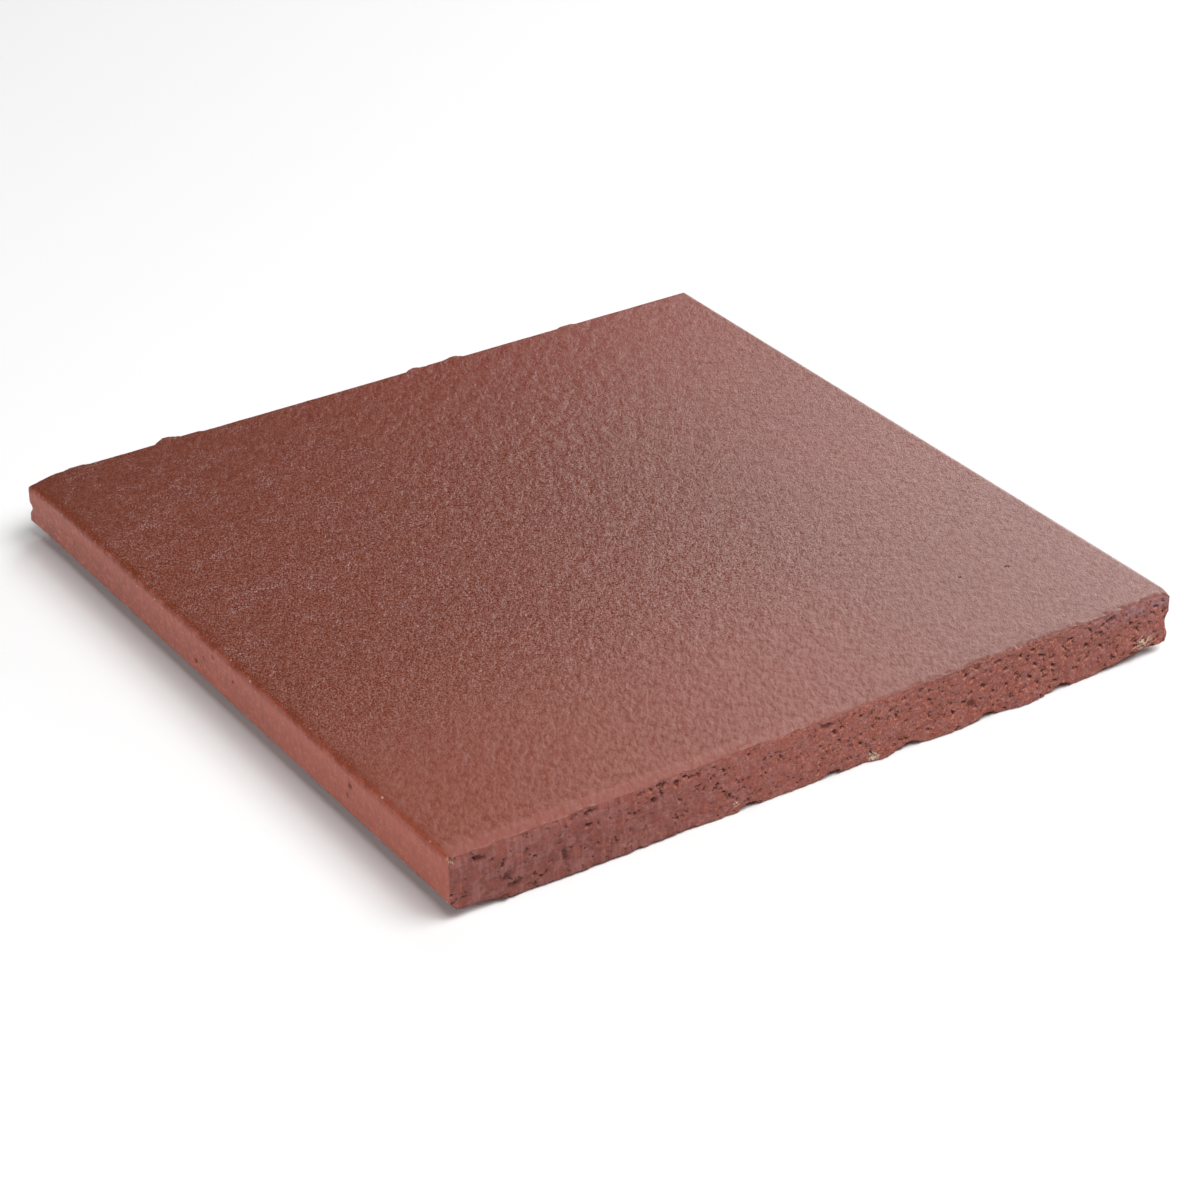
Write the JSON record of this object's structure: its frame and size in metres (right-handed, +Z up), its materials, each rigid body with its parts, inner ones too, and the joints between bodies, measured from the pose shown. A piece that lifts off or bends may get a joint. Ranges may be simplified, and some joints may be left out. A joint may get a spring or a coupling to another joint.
{
  "type": "quarry tile",
  "caption": "Square unglazed clay floor tile with a flat satin wearing face, rough wire-cut ends and shallow keying grooves on the back.",
  "frame": {"origin": "middle of the bed plane that the lands of the back rest on, halfway between the smooth sides and halfway between the cut faces", "axes": "+Z up out of the wearing face, +Y along the clay column and its keying grooves, out of the far cut face, +X out of one smooth side"},
  "size_m": [0.15, 0.1521, 0.012],
  "materials": {
    "fired_clay": "unglazed fired red clay, satin wearing face with fine orange-peel dimples, rough pitted cut faces"
  },
  "bodies": {
    "root": {"tile": "fired_clay"}
  },
  "joints": []
}
